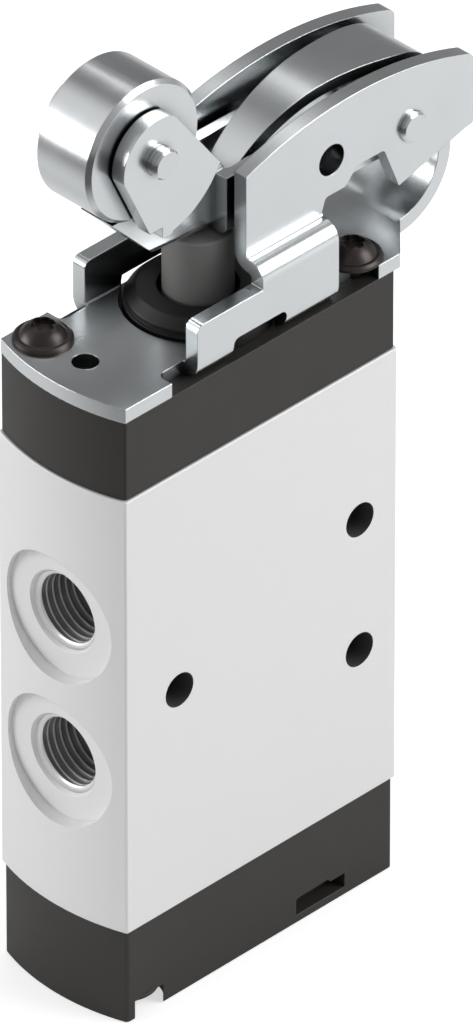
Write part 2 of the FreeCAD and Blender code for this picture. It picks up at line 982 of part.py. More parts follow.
def strap_region(inset):
    """Side view of all that lies under the strap's outer face, or its inner face for an inset."""
    z = plate_top
    rise = strap_peak_rise - pivot_rise
    run = pivot_y - strap_peak_y
    pivot = (pivot_y, z + pivot_rise)
    peak = z + strap_peak_rise
    back_radius = (run ** 2 + rise ** 2 - strap_rear_radius ** 2) / (2.0 * (rise - strap_rear_radius))
    front = (strap_peak_y, peak - strap_front_radius)
    back = (strap_peak_y, peak - back_radius)
    join = math.atan2(pivot[1] - back[1], pivot[0] - back[0])
    up = math.pi / 2.0
    foot = strap_foot_y + inset
    start = math.acos((foot - strap_peak_y) / (strap_front_radius - inset))
    return outline(
        around(front, strap_front_radius - inset, start),
        [
            sweep(front, strap_front_radius - inset, start, up),
            sweep(back, back_radius - inset, up, join),
            sweep(pivot, strap_rear_radius - inset, join, strap_end_angle),
            pivot,
            (pivot_y, z),
            (foot, z),
        ],
    )


def lever_strap():
    """The arched strap: a leg on the channel's floor, an arch and a hook behind the pivot."""
    outer = prism_across(strap_region(0.0), -lever_half_width, lever_half_width)
    strap = outer.cut(prism_across(strap_region(strap_thick), -body_width, body_width))
    low = cap_top
    floor = rounded(
        [
            (chin_y, lever_line(chin_y) + lever_sheet, 0),
            (chin_y, low, 0),
            (pivot_y, low, 0),
            (pivot_y, lever_line(pivot_y) + lever_sheet, 0),
        ]
    )
    strap = strap.cut(prism_across(floor, -body_width, body_width))
    rear = 2.0 * pivot_y
    plan = rounded(
        [
            (-strap_front_half, chin_y, 0),
            (strap_front_half, chin_y, 0),
            (strap_front_half, strap_foot_y + lever_sheet, 0),
            (strap_rear_half, pivot_y, 0),
            (strap_rear_half, rear, 0),
            (-strap_rear_half, rear, 0),
            (-strap_rear_half, pivot_y, 0),
            (-strap_front_half, strap_foot_y + lever_sheet, 0),
        ]
    )
    strap = strap.common(prism_up(plan, low, 2.0 * plate_top))
    return max(strap.Solids, key=lambda solid: solid.Volume)


def fork_cheek():
    """One cheek: a round hub, and a sector whose lower edge is an arc round the roller's axis."""
    axis = (roller_y, plate_top + roller_rise)
    top_of_arc = around(axis, sector_radius, sector_end)
    foot_of_arc = around(axis, sector_radius, sector_start)
    inner_x = roller_half_width + fork_gap
    wire = outline(
        around(axis, hub_radius, hub_top_angle),
        [
            sweep(axis, hub_radius, hub_top_angle, hub_left_angle),
            (toe_y, plate_top + toe_rise),
            (bar_front_y, plate_top + toe_rise),
            foot_of_arc,
            sweep(axis, sector_radius, sector_start, sector_end),
            (top_of_arc[0] - bar_edge, top_of_arc[1] + bar_edge),
        ],
    )
    return prism_across(wire, inner_x, inner_x + fork_sheet)


def roller_fork():
    """Two cheeks on a cross bar that lies in notches of the lever's nose, under the roller."""
    outer_x = roller_half_width + fork_gap + fork_sheet
    low = plate_top + bar_under_rise
    bar = box(-outer_x, outer_x, bar_front_y, bar_rear_y, low, low + bar_height)
    bar = bar.makeFillet(bar_edge, edges_across(bar, bar_rear_y, low))
    bar = bar.makeFillet(bar_edge, edges_across(bar, bar_front_y, low))
    cheek = fork_cheek()
    whole = bar.multiFuse([cheek, mirrored(cheek)])
    z = plate_top + roller_rise
    whole = whole.cut(crosswise(pin_d, -body_width, body_width, roller_y, z))
    return whole.removeSplitter()


def roller_pin():
    """The roller's pin, proud of both cheeks, with a fine groove near each end."""
    reach = roller_half_width + fork_gap + fork_sheet + roller_pin_proud
    z = plate_top + roller_rise
    pin = chamfered_pin(reach, roller_y, z)
    for side in (-1, 1):
        middle = side * (reach - groove_back)
        low = middle - groove_width / 2.0
        high = middle + groove_width / 2.0
        groove = crosswise(pin_d + sheet, low, high, roller_y, z)
        groove = groove.cut(crosswise(pin_d - 2.0 * groove_depth, low, high, roller_y, z))
        pin = pin.cut(groove)
    return pin


def roller():
    """The steel roller, with a bevel at each rim and a bore for its bush."""
    z = plate_top + roller_rise
    wheel = crosswise(roller_d, -roller_half_width, roller_half_width, roller_y, z)
    rims = [e for e in wheel.Edges if e.BoundBox.XLength < 1e-6]
    wheel = wheel.makeChamfer(roller_edge, rims)
    return wheel.cut(crosswise(roller_bore_d, -body_width, body_width, roller_y, z))


def roller_bush():
    """Plain bearing fixed in the roller, which turns on the pin."""
    z = plate_top + roller_rise
    outer = roller_bore_d - 2.0 * bush_wall_clearance
    sleeve = crosswise(outer, -roller_half_width, roller_half_width, roller_y, z)
    bore = pin_d + 2.0 * bush_clearance
    return sleeve.cut(crosswise(bore, -body_width, body_width, roller_y, z))


nodes = [
    valve_body,
    top_cap,
    bottom_cap,
    top_gasket,
    bottom_gasket,
    guide_collar,
    wiper_ring,
    plunger,
    spool,
    spool_seals,
    seal_cages,
    return_spring,
    bracket,
    bracket_screws,
    bottom_cap_screws,
    pivot_pin,
    pivot_washers,
    lever_channel,
    lever_strap,
    roller_fork,
    roller_pin,
    roller,
    roller_bush,
    roller_washers,
]

os.makedirs("parts", exist_ok=True)
for make in nodes:
    shape = make()
    solids = shape.Solids
    name = make.__name__
    print(name, "solids", len(solids), "valid", shape.isValid(), "volume", round(shape.Volume, 2))
    if len(solids) == 1:
        shape = solids[0]
    shape.exportStep("parts/" + name + ".step")
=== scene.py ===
import json
import math

import bmesh
import bpy
from bpy.props import FloatProperty, FloatVectorProperty, IntProperty, PointerProperty
from mathutils import Matrix, Vector


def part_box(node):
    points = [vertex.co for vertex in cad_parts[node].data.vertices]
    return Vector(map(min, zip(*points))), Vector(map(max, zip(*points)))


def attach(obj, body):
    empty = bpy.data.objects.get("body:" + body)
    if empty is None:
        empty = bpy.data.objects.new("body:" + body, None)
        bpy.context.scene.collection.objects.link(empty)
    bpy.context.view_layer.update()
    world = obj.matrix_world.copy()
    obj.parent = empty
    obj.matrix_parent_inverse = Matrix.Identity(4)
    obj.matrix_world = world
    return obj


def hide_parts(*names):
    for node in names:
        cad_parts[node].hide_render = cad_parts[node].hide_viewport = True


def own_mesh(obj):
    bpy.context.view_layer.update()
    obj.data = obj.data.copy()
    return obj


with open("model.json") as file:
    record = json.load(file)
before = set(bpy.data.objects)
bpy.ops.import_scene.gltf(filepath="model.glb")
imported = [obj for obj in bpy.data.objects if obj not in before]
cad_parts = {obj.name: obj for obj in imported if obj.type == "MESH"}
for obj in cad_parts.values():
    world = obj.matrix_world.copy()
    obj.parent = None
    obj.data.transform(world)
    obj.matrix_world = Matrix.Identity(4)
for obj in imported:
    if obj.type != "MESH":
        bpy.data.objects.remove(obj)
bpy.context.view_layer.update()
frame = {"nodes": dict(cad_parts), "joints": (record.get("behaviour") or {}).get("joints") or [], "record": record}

bl_info = {
    "name": "Roller lever valve dressing",
    "version": (1, 0, 0),
    "blender": (4, 5, 0),
    "location": "3D View > Sidebar > Valve",
    "description": "Threads, surface finishes and studio for a roller lever air valve",
    "category": "Object",
}

# Lengths are in metres, apart from the record's, which are in millimetres where their name says so.
# Z is up, the two-port face looks to -Y, and the flat sides look to +X and -X.
mm_per_metre = 1000.0


def colour_prop(name, description, default):
    """A colour in a property group."""
    return FloatVectorProperty(
        name=name, description=description, default=default, subtype="COLOR", size=3, min=0.0, max=1.0
    )


def power_prop(name, description, default):
    """The power of a lamp in a property group."""
    return FloatProperty(name=name, description=description, default=default, unit="POWER")


class ThreadSizes(bpy.types.PropertyGroup):
    """Thread of every port"""

    pitch: FloatProperty(
        name="Pitch", description="Distance from one thread crest to the next", default=0.001337,
        unit="LENGTH", precision=5,
    )
    depth: FloatProperty(
        name="Depth", description="Height of a thread turn above the root", default=0.00078,
        unit="LENGTH", precision=5,
    )
    facets: IntProperty(name="Facets", description="Steps in one turn of the thread", default=72, min=24)


class SpringSizes(bpy.types.PropertyGroup):
    """Return spring; its height and outside diameter follow the solid one"""

    wire: FloatProperty(
        name="Wire", description="Diameter of the return spring's wire", default=0.00105,
        unit="LENGTH", precision=5,
    )
    turns: IntProperty(name="Turns", description="Turns of the return spring", default=6, min=2)


class FinishColours(bpy.types.PropertyGroup):
    """Colour of each finish"""

    body: colour_prop("Body", "Satin anodised aluminium of the valve body", (0.90, 0.90, 0.905))
    # Painted shade: a dark grey for the walls of the mounting holes, standing for the shade inside them.
    hole_shade: colour_prop("Drilled walls", "Painted shade inside the mounting holes", (0.16, 0.16, 0.16))
    cap: colour_prop("Caps", "Grained dark plastic of both end caps", (0.0295, 0.0275, 0.025))
    collar: colour_prop("Collar", "Smooth black plastic of the guide collar", (0.006, 0.0057, 0.0057))
    plunger: colour_prop("Plunger", "Dark grey plastic of the plunger", (0.205, 0.202, 0.198))
    rubber: colour_prop("Rubber", "Seals and gaskets", (0.006, 0.006, 0.006))
    cage: colour_prop("Cages", "Pale plastic of the seal cages and the washers", (0.55, 0.55, 0.53))
    spool: colour_prop("Spool", "Turned aluminium of the spool", (0.75, 0.75, 0.76))
    spring: colour_prop("Spring", "Steel wire of the return spring", (0.6, 0.6, 0.6))
    plate: colour_prop("Plated steel", "Bright zinc on the bracket, lever and fork", (0.80, 0.83, 0.845))
    screw: colour_prop("Screws", "Black oxide on the flanged screws", (0.06, 0.051, 0.048))
    roller: colour_prop("Roller", "Turned steel of the roller and the pins", (0.79, 0.815, 0.83))
    bush: colour_prop("Bush", "Sintered bronze of the roller's bush", (0.52, 0.37, 0.2))


class StudioLevels(bpy.types.PropertyGroup):
    """Light of the studio"""

    sky: FloatProperty(name="Sky", description="Level of the soft studio surround", default=0.52, min=0.0)
    key: power_prop("Key", "Power of the softbox on the flat side", 7.9)
    fill: power_prop("Fill", "Power of the softbox on the port face", 5.3)
    top: power_prop("Top", "Power of the softbox overhead", 2.0)


def group_tree(name, inputs, outputs):
    """A new node group with the named sockets; an input is its kind, name and default."""
    tree = bpy.data.node_groups.new(name, "ShaderNodeTree")
    for kind, label, default in inputs:
        socket = tree.interface.new_socket(label, in_out="INPUT", socket_type=kind)
        socket.default_value = default
    for kind, label in outputs:
        tree.interface.new_socket(label, in_out="OUTPUT", socket_type=kind)
    return tree, tree.nodes.new("NodeGroupInput"), tree.nodes.new("NodeGroupOutput")


def add(tree, kind, **settings):
    """A new node of this kind with these settings."""
    node = tree.nodes.new(kind)
    for key, value in settings.items():
        setattr(node, key, value)
    return node


def add_noise(tree, detail, scale=1.0, **settings):
    """A new noise texture; its scale may also be linked."""
    node = add(tree, "ShaderNodeTexNoise", **settings)
    node.inputs["Scale"].default_value = scale
    node.inputs["Detail"].default_value = detail
    return node


def maths(tree, operation, *values):
    """The result of a Math node whose values are numbers or other nodes' outputs."""
    node = add(tree, "ShaderNodeMath", operation=operation)
    for socket, value in zip(node.inputs, values):
        if isinstance(value, (int, float)):
            socket.default_value = value
        else:
            tree.links.new(value, socket)
    return node.outputs[0]


def sharp_edges():
    """Mask of the sharp edges, which some finishes turn paler, broken up by noise so that it is no drawn line, and
    their rounded normal.
    """
    tree, given, result = group_tree(
        "sharp_edges",
        [("NodeSocketFloat", "Radius", 0.0004), ("NodeSocketFloat", "Breakup", 0.3)],
        [("NodeSocketFloat", "Mask"), ("NodeSocketVector", "Normal")],
    )
    contrast = 6.0
    bevel = add(tree, "ShaderNodeBevel", samples=6)
    shape = add(tree, "ShaderNodeNewGeometry")
    dot = add(tree, "ShaderNodeVectorMath", operation="DOT_PRODUCT")
    place = add(tree, "ShaderNodeTexCoord")
    flecks = add_noise(tree, detail=3.0, scale=900.0)
    tree.links.new(given.outputs["Radius"], bevel.inputs["Radius"])
    tree.links.new(bevel.outputs["Normal"], dot.inputs[0])
    tree.links.new(shape.outputs["Normal"], dot.inputs[1])
    tree.links.new(place.outputs["Object"], flecks.inputs["Vector"])
    lean = maths(tree, "SUBTRACT", 1.0, dot.outputs["Value"])
    edge = maths(tree, "MULTIPLY", lean, contrast)
    broken = maths(tree, "MULTIPLY", flecks.outputs["Fac"], given.outputs["Breakup"])
    clamp = add(tree, "ShaderNodeClamp")
    tree.links.new(maths(tree, "SUBTRACT", edge, broken), clamp.inputs["Value"])
    tree.links.new(clamp.outputs["Result"], result.inputs["Mask"])
    tree.links.new(bevel.outputs["Normal"], result.inputs["Normal"])
    return tree


def fine_grain():
    """Two-scale grain: a fine height for bump and a slow mottle for colour and roughness."""
    tree, given, result = group_tree(
        "fine_grain",
        [("NodeSocketFloat", "Scale", 2500.0), ("NodeSocketFloat", "Mottle Scale", 90.0)],
        [("NodeSocketFloat", "Height"), ("NodeSocketFloat", "Mottle")],
    )
    place = add(tree, "ShaderNodeTexCoord")
    for detail, scale, output in ((2.0, "Scale", "Height"), (4.0, "Mottle Scale", "Mottle")):
        noise = add_noise(tree, detail)
        tree.links.new(place.outputs["Object"], noise.inputs["Vector"])
        tree.links.new(given.outputs[scale], noise.inputs["Scale"])
        tree.links.new(noise.outputs["Fac"], result.inputs[output])
    return tree


def rolled_lines():
    """Height of fine parallel lines, as rolling leaves them: close together where the stretch is large."""
    tree, given, result = group_tree(
        "rolled_lines",
        [("NodeSocketVector", "Stretch", (60.0, 60.0, 1800.0))],
        [("NodeSocketFloat", "Height")],
    )
    place = add(tree, "ShaderNodeTexCoord")
    scale = add(tree, "ShaderNodeVectorMath", operation="MULTIPLY")
    noise = add_noise(tree, detail=2.0)
    tree.links.new(place.outputs["Object"], scale.inputs[0])
    tree.links.new(given.outputs["Stretch"], scale.inputs[1])
    tree.links.new(scale.outputs[0], noise.inputs["Vector"])
    tree.links.new(noise.outputs["Fac"], result.inputs["Height"])
    return tree


def turned_rings():
    """Height of fine rings about a line along X through the centre, as the lathe leaves them."""
    tree, given, result = group_tree(
        "turned_rings",
        [("NodeSocketVector", "Centre", (0.0, 0.0, 0.0))],
        [("NodeSocketFloat", "Height")],
    )
    rings_per_metre = 9000.0
    place = add(tree, "ShaderNodeTexCoord")
    shift = add(tree, "ShaderNodeVectorMath", operation="SUBTRACT")
    parts = add(tree, "ShaderNodeSeparateXYZ")
    tree.links.new(place.outputs["Object"], shift.inputs[0])
    tree.links.new(given.outputs["Centre"], shift.inputs[1])
    tree.links.new(shift.outputs[0], parts.inputs[0])
    squares = [maths(tree, "POWER", parts.outputs[axis], 2.0) for axis in ("Y", "Z")]
    radius = maths(tree, "SQRT", maths(tree, "ADD", *squares))
    outward = maths(tree, "MULTIPLY", radius, rings_per_metre)
    sideways = maths(tree, "MULTIPLY", parts.outputs["X"], rings_per_metre)
    rings = add_noise(tree, detail=2.0, noise_dimensions="1D")
    tree.links.new(maths(tree, "ADD", outward, sideways), rings.inputs["W"])
    tree.links.new(rings.outputs["Fac"], result.inputs["Height"])
    return tree


def painted_shade_openness():
    """Mask of the open places for painted shade: 1 on a free face, 0 deep in a hole or between close walls."""
    tree, given, result = group_tree(
        "painted_shade_openness",
        [
            ("NodeSocketFloat", "Distance", 0.01),
            ("NodeSocketFloat", "Closed", 0.3),
            ("NodeSocketFloat", "Free", 0.9),
        ],
        [("NodeSocketFloat", "Mask")],
    )
    nearness = add(tree, "ShaderNodeAmbientOcclusion", samples=8)
    ramp = add(tree, "ShaderNodeMapRange")
    tree.links.new(given.outputs["Distance"], nearness.inputs["Distance"])
    tree.links.new(nearness.outputs["AO"], ramp.inputs["Value"])
    tree.links.new(given.outputs["Closed"], ramp.inputs["From Min"])
    tree.links.new(given.outputs["Free"], ramp.inputs["From Max"])
    tree.links.new(ramp.outputs["Result"], result.inputs["Mask"])
    return tree


effects = {
    "sharp_edges": sharp_edges,
    "fine_grain": fine_grain,
    "rolled_lines": rolled_lines,
    "turned_rings": turned_rings,
    "painted_shade_openness": painted_shade_openness,
}


def placed(tree, name, **values):
    """One of the shared effects in a material, with its own values; the group is built once."""
    group = bpy.data.node_groups.get(name) or effects[name]()
    node = add(tree, "ShaderNodeGroup", node_tree=group)
    for key, value in values.items():
        node.inputs[key.replace("_", " ")].default_value = value
    return node


def ranged(tree, value, low, high):
    """The value from 0 to 1 spread between two levels."""
    node = add(tree, "ShaderNodeMapRange")
    node.inputs["To Min"].default_value = low
    node.inputs["To Max"].default_value = high
    tree.links.new(value, node.inputs["Value"])
    return node.outputs["Result"]


def blended(tree, factor, first, second):
    """A colour that goes from the first to the second with the factor."""
    node = add(tree, "ShaderNodeMix", data_type="RGBA")
    node.inputs["A"].default_value = (*first, 1.0)
    node.inputs["B"].default_value = (*second, 1.0)
    tree.links.new(factor, node.inputs["Factor"])
    return node.outputs["Result"]


def painted_shade(tree, base, shade, reach, closed, free):
    """The base colour with painted shade: darkened to this share where walls within reach close it in."""
    places = placed(tree, "painted_shade_openness", Distance=reach, Closed=closed, Free=free)
    level = ranged(tree, places.outputs["Mask"], shade, 1.0)
    node = add(tree, "ShaderNodeVectorMath", operation="SCALE")
    tree.links.new(base, node.inputs[0])
    tree.links.new(level, node.inputs["Scale"])
    return node.outputs[0]


def new_material(name):
    """A new material with its node tree and its shader."""
    material = bpy.data.materials.new(name)
    material.use_nodes = True
    tree = material.node_tree
    return material, tree, tree.nodes["Principled BSDF"]


def finished(tree, shader, base, mottle, rough, spread):
    """Sets the base colour, and a roughness that strays from its middle level with the mottle."""
    tree.links.new(base, shader.inputs["Base Color"])
    tree.links.new(ranged(tree, mottle, rough - spread, rough + spread), shader.inputs["Roughness"])


def bumped(tree, shader, height, strength, distance, normal):
    """Sets the shader's normal: the given one, disturbed by the height."""
    bump = add(tree, "ShaderNodeBump")
    bump.inputs["Strength"].default_value = strength
    bump.inputs["Distance"].default_value = distance
    tree.links.new(height, bump.inputs["Height"])
    tree.links.new(normal, bump.inputs["Normal"])
    tree.links.new(bump.outputs["Normal"], shader.inputs["Normal"])


def toned(colour, factor):
    """The colour times this factor, white at most."""
    return tuple(min(1.0, level * factor) for level in colour)


def satin_metal(name, colour, metallic, rough, bump, edge_radius, edge_gain=1.0, shade=1.0):
    """Blasted or anodised metal: fine even grain, paler edges, and painted shade on closed places where asked."""
    material, tree, shader = new_material(name)
    grain = placed(tree, "fine_grain", Scale=3800.0, Mottle_Scale=60.0)
    edges = placed(tree, "sharp_edges", Radius=edge_radius, Breakup=0.15)
    base = blended(tree, edges.outputs["Mask"], colour, toned(colour, edge_gain))
    # Painted shade: the colour darkened where walls close the face in.
    if shade < 1.0:
        base = painted_shade(tree, base, shade, reach=0.006, closed=0.2, free=0.5)
    shader.inputs["Metallic"].default_value = metallic
    finished(tree, shader, base, grain.outputs["Mottle"], rough, spread=0.03)
    bumped(tree, shader, grain.outputs["Height"], bump, distance=0.00002, normal=edges.outputs["Normal"])
    return material


def bright_steel(name, colour, rough, edge_radius, shade, reach, lines, **placing):
    """Bright steel with the lines of this effect, and painted shade where walls within reach close it in."""
    material, tree, shader = new_material(name)
    relief = placed(tree, lines, **placing)
    grain = placed(tree, "fine_grain", Mottle_Scale=140.0)
    edges = placed(tree, "sharp_edges", Radius=edge_radius)
    dull, clean = 0.96, 1.03
    base = blended(tree, grain.outputs["Mottle"], toned(colour, dull), toned(colour, clean))
    base = painted_shade(tree, base, shade, reach, closed=0.3, free=0.8)
    shader.inputs["Metallic"].default_value = 1.0
    finished(tree, shader, base, grain.outputs["Mottle"], rough, spread=0.04)
    bumped(
        tree, shader, relief.outputs["Height"], strength=0.25, distance=0.00001,
        normal=edges.outputs["Normal"],
    )
    return material


def rolled_sheet(name, colour, shade, reach):
    """Plated sheet, with fine level lines from rolling."""
    return bright_steel(
        name, colour, rough=0.24, edge_radius=0.0002, shade=shade, reach=reach,
        lines="rolled_lines", Stretch=(60.0, 60.0, 1800.0),
    )


def turned_steel(name, piece, colour, rough, edge_radius, shade):
    """Turned steel, with fine rings from the lathe about the piece's own middle."""
    low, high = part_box(piece)
    return bright_steel(
        name, colour, rough, edge_radius, shade, reach=0.005,
        lines="turned_rings", Centre=(low + high) / 2,
    )


def moulded_plastic(name, colour, rough, grain_scale, bump, edge_radius):
    """Moulded plastic: grained skin, paler along its edges."""
    material, tree, shader = new_material(name)
    grain = placed(tree, "fine_grain", Scale=grain_scale, Mottle_Scale=120.0)
    edges = placed(tree, "sharp_edges", Radius=edge_radius, Breakup=0.4)
    base = blended(tree, edges.outputs["Mask"], colour, toned(colour, factor=2.2))
    finished(tree, shader, base, grain.outputs["Mottle"], rough, spread=0.06)
    bumped(tree, shader, grain.outputs["Height"], bump, distance=0.00004, normal=edges.outputs["Normal"])
    return material


def dress(material, *names):
    """Gives these pieces of the frame this finish and no other."""
    for name in names:
        node = frame["nodes"].get(name)
        if node is None:
            raise RuntimeError("no piece named " + name)
        node.data.materials.clear()
        node.data.materials.append(material)


def shade_hole_walls(body, material, holes):
    """Gives the walls of these holes their own dark finish, painted shade for the inside of the holes, without
    touching the shape.
    """
    # A wall's face is this close to the hole's radius and leans this little along the axis
    off_radius, off_square = 0.00005, 0.1
    body.data.materials.append(material)
    for face in body.data.polygons:
        for hole in holes:
            axis = Vector(hole["axis"])
            radius = hole["dims"]["r_mm"] / mm_per_metre
            aside = body.matrix_world @ face.center - Vector(hole["pos_m"])
            aside -= axis * aside.dot(axis)
            if abs(aside.length - radius) < off_radius and abs(face.normal.dot(axis)) < off_square:
                face.material_index = len(body.data.materials) - 1


class VALVE_OT_housing_finish(bpy.types.Operator):
    """Finish of the valve body, the end caps and the gaskets"""

    bl_idname = "valve.housing_finish"
    bl_label = "Finish the housing"

    def execute(self, context):
        colours = context.scene.valve_colours
        # Painted shade: the body darkened down to 0.12 of its colour where walls close it in, as in its holes and
        # joints.
        anodised = satin_metal(
            "satin_aluminium", colours.body, metallic=0.12, rough=0.46, bump=0.2, edge_radius=0.00015,
            shade=0.12,
        )
        dress(anodised, "valve_body")
        # Painted shade: the mounting holes' walls get a dark grey of their own for the shade inside them.
        hole_shade = satin_metal(
            "hole_wall_shade", colours.hole_shade, metallic=0.5, rough=0.4, bump=0.2, edge_radius=0.00005,
            shade=0.3,
        )
        holes = [mount for mount in frame["record"]["mounts"] if mount["kind"] == "bore"]
        shade_hole_walls(frame["nodes"]["valve_body"], hole_shade, holes)
        cap = moulded_plastic(
            "grained_cap", colours.cap, rough=0.5, grain_scale=2600.0, bump=0.35, edge_radius=0.0003,
        )
        dress(cap, "top_cap", "bottom_cap")
        gasket = moulded_plastic(
            "gasket_rubber", colours.rubber, rough=0.7, grain_scale=2200.0, bump=0.2, edge_radius=0.0001,
        )
        dress(gasket, "top_gasket", "bottom_gasket")
        return {"FINISHED"}


class VALVE_OT_plunger_finish(bpy.types.Operator):
    """Finish of the plunger, its collar and the sealed pieces inside"""

    bl_idname = "valve.plunger_finish"
    bl_label = "Finish the plunger and spool"

    def execute(self, context):
        colours = context.scene.valve_colours
        collar = moulded_plastic(
            "collar_plastic", colours.collar, rough=0.5, grain_scale=3000.0, bump=0.12, edge_radius=0.0003,
        )
        dress(collar, "guide_collar")
        plunger = moulded_plastic(
            "plunger_plastic", colours.plunger, rough=0.55, grain_scale=3000.0, bump=0.12, edge_radius=0.0003,
        )
        dress(plunger, "plunger")
        rubber = moulded_plastic(
            "seal_rubber", colours.rubber, rough=0.6, grain_scale=2200.0, bump=0.2, edge_radius=0.0001,
        )
        dress(rubber, "wiper_ring", "spool_seals")
        cage = moulded_plastic(
            "cage_plastic", colours.cage, rough=0.45, grain_scale=2600.0, bump=0.1, edge_radius=0.0002,
        )
        dress(cage, "seal_cages", "pivot_washers", "roller_washers")
        spool = satin_metal(
            "spool_aluminium", colours.spool, metallic=1.0, rough=0.25, bump=0.05, edge_radius=0.0002,
            edge_gain=1.05,
        )
        dress(spool, "spool")
        return {"FINISHED"}


class VALVE_OT_steel_finish(bpy.types.Operator):
    """Finish of the bracket, the lever, the strap, the fork and the screws"""

    bl_idname = "valve.steel_finish"
    bl_label = "Finish the sheet metal"

    def execute(self, context):
        colours = context.scene.valve_colours
        # Painted shade: the bracket, lever, strap and fork darkened where walls close them in.
        dress(rolled_sheet("zinc_plated_bracket", colours.plate, shade=0.25, reach=0.014), "bracket")
        lever = rolled_sheet("zinc_plated_lever", colours.plate, shade=0.2, reach=0.005)
        dress(lever, "lever_channel", "lever_strap", "roller_fork")
        screw = satin_metal(
            "black_oxide", colours.screw, metallic=0.75, rough=0.36, bump=0.15, edge_radius=0.0002,
            edge_gain=2.0,
        )
        dress(screw, "bracket_screws", "bottom_cap_screws")
        return {"FINISHED"}


class VALVE_OT_roller_finish(bpy.types.Operator):
    """Finish of the roller, its bush and the pins"""

    bl_idname = "valve.roller_finish"
    bl_label = "Finish the roller and pins"

    def execute(self, context):
        colours = context.scene.valve_colours
        # Painted shade: the roller and the pins darkened where walls close them in.
        roller = turned_steel(
            "turned_roller", "roller", colours.roller, rough=0.24, edge_radius=0.00015, shade=0.2,
        )
        dress(roller, "roller")
        for name in ("roller_pin", "pivot_pin"):
            pin = turned_steel(
                "bright_" + name, name, colours.roller, rough=0.2, edge_radius=0.00008, shade=0.7,
            )
            dress(pin, name)
        bush = satin_metal(
            "sintered_bronze", colours.bush, metallic=1.0, rough=0.45, bump=0.25, edge_radius=0.0002,
            edge_gain=1.1,
        )
        dress(bush, "roller_bush")
        return {"FINISHED"}


def drawn(mesh, name):
    """The data of a mesh whose drawing is done."""
    data = bpy.data.meshes.new(name)
    mesh.to_mesh(data)
    mesh.free()
    return data


def new_object(context, name, data):
    """A new object with this data, in the scene."""
    piece = bpy.data.objects.new(name, data)
    context.scene.collection.objects.link(piece)
    return piece


# Places of a thread's three finishes in its list of materials, which starts from 0; the flank's finish is painted
# shade
flank_shade_finish, crest_finish, mouth_finish = 0, 1, 2


def thread_turns(mesh, pitch, depth, facets, root, length):
    """Inside thread as one ribbon whose rows follow the helix, faded out at both ends."""
    root_flat, shoulder, shoulder_rise = 0.06, 0.36, 0.85
    profile = [
        (0.0, 0.0), (root_flat, 0.0), (shoulder, shoulder_rise),
        (0.5, 1.0), (1.0 - shoulder, shoulder_rise), (1.0 - root_flat, 0.0),
    ]
    crest = (2, 3)
    start, fade_in, fade_out = 0.5 * depth, 0.6 * pitch, pitch
    turns = length / pitch + 1.0
    steps = int(turns * facets)
    rows = []
    for k in range(steps + 1):
        turn = k / facets
        angle = 2.0 * math.pi * turn
        row = []
        for along, rise in profile:
            place = (turn + along - 1.0) * pitch
            fade = min(1.0, max(0.0, (place - start) / fade_in), max(0.0, (length - place) / fade_out))
            radius = root - rise * depth * fade
            place = min(length, max(0.0, place))
            row.append(mesh.verts.new((radius * math.cos(angle), -place, radius * math.sin(angle))))
        rows.append(row)
    for k in range(steps):
        for j in range(len(profile) - 1):
            face = mesh.faces.new((rows[k][j], rows[k + 1][j], rows[k + 1][j + 1], rows[k][j + 1]))
            face.material_index = crest_finish if j in crest else flank_shade_finish
        if k + facets + 1 <= steps:
            mesh.faces.new((rows[k][-1], rows[k + 1][-1], rows[k + facets + 1][0], rows[k + facets][0]))


def mouth_cone(mesh, depth, facets, root):
    """Cone of the countersunk mouth, from the thread's root to its crest."""
    ring = []
    for k in range(facets):
        angle = 2.0 * math.pi * k / facets
        side = Vector((math.cos(angle), 0.0, math.sin(angle)))
        ends = [side * (root - inward) - Vector((0.0, inward, 0.0)) for inward in (0.0, depth)]
        ring.append([mesh.verts.new(end) for end in ends])
    for k in range(facets):
        outer, inner = ring[k - 1]
        face = mesh.faces.new((ring[k][0], outer, inner, ring[k][1]))
        face.material_index = mouth_finish


def thread_mesh(name, sizes, root, length):
    """A port's thread: the turns, and the cone of the mouth before them."""
    weld = 1e-7
    mesh = bmesh.new()
    thread_turns(mesh, sizes.pitch, sizes.depth, sizes.facets, root, length)
    mouth_cone(mesh, sizes.depth, sizes.facets, root)
    bmesh.ops.remove_doubles(mesh, verts=mesh.verts, dist=weld)
    bmesh.ops.dissolve_degenerate(mesh, dist=weld, edges=mesh.edges)
    for face in mesh.faces:
        face.smooth = True
    return drawn(mesh, name)


class VALVE_OT_port_threads(bpy.types.Operator):
    """Thread turns inside every port of the body"""

    bl_idname = "valve.port_threads"
    bl_label = "Cut the port threads"

    def execute(self, context):
        sizes = context.scene.valve_threads
        colour = context.scene.valve_colours.body
        skin = {"bump": 0.05, "edge_radius": 0.00005}
        crest = satin_metal("thread_crest", toned(colour, 0.85), metallic=0.6, rough=0.35, **skin)
        # Painted shade: the flanks are the body colour at a fifth, dark between the paler crests.
        flank_shade = satin_metal("thread_flank_shade", toned(colour, 0.2), metallic=0.6, rough=0.4, **skin)
        mouth = satin_metal("port_mouth", colour, metallic=0.4, rough=0.3, **skin)
        ports = [mount for mount in frame["record"]["mounts"] if mount["kind"] == "threaded_hole"]
        if not ports:
            raise RuntimeError("the record names no threaded port")
        # The turns stay this far off the bore's wall, and the record's mount is this deep in the thread
        wall_gap, mount_depth = 0.00002, 0.002
        for port in ports:
            name = port["name"] + "_thread"
            root = port["dims"]["r_mm"] / mm_per_metre - wall_gap
            data = thread_mesh(name, sizes, root, port["dims"]["length_mm"] / mm_per_metre)
            for finish in (flank_shade, crest, mouth):
                data.materials.append(finish)
            thread = new_object(context, name, data)
            out = Vector(port["axis"])
            start = Vector(port["pos_m"]) + out * mount_depth
            spin = Matrix.Rotation(0.0 if out.y > 0 else math.pi, 4, "Z")
            thread.matrix_world = Matrix.Translation(start) @ spin
            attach(thread, "housing")
        return {"FINISHED"}


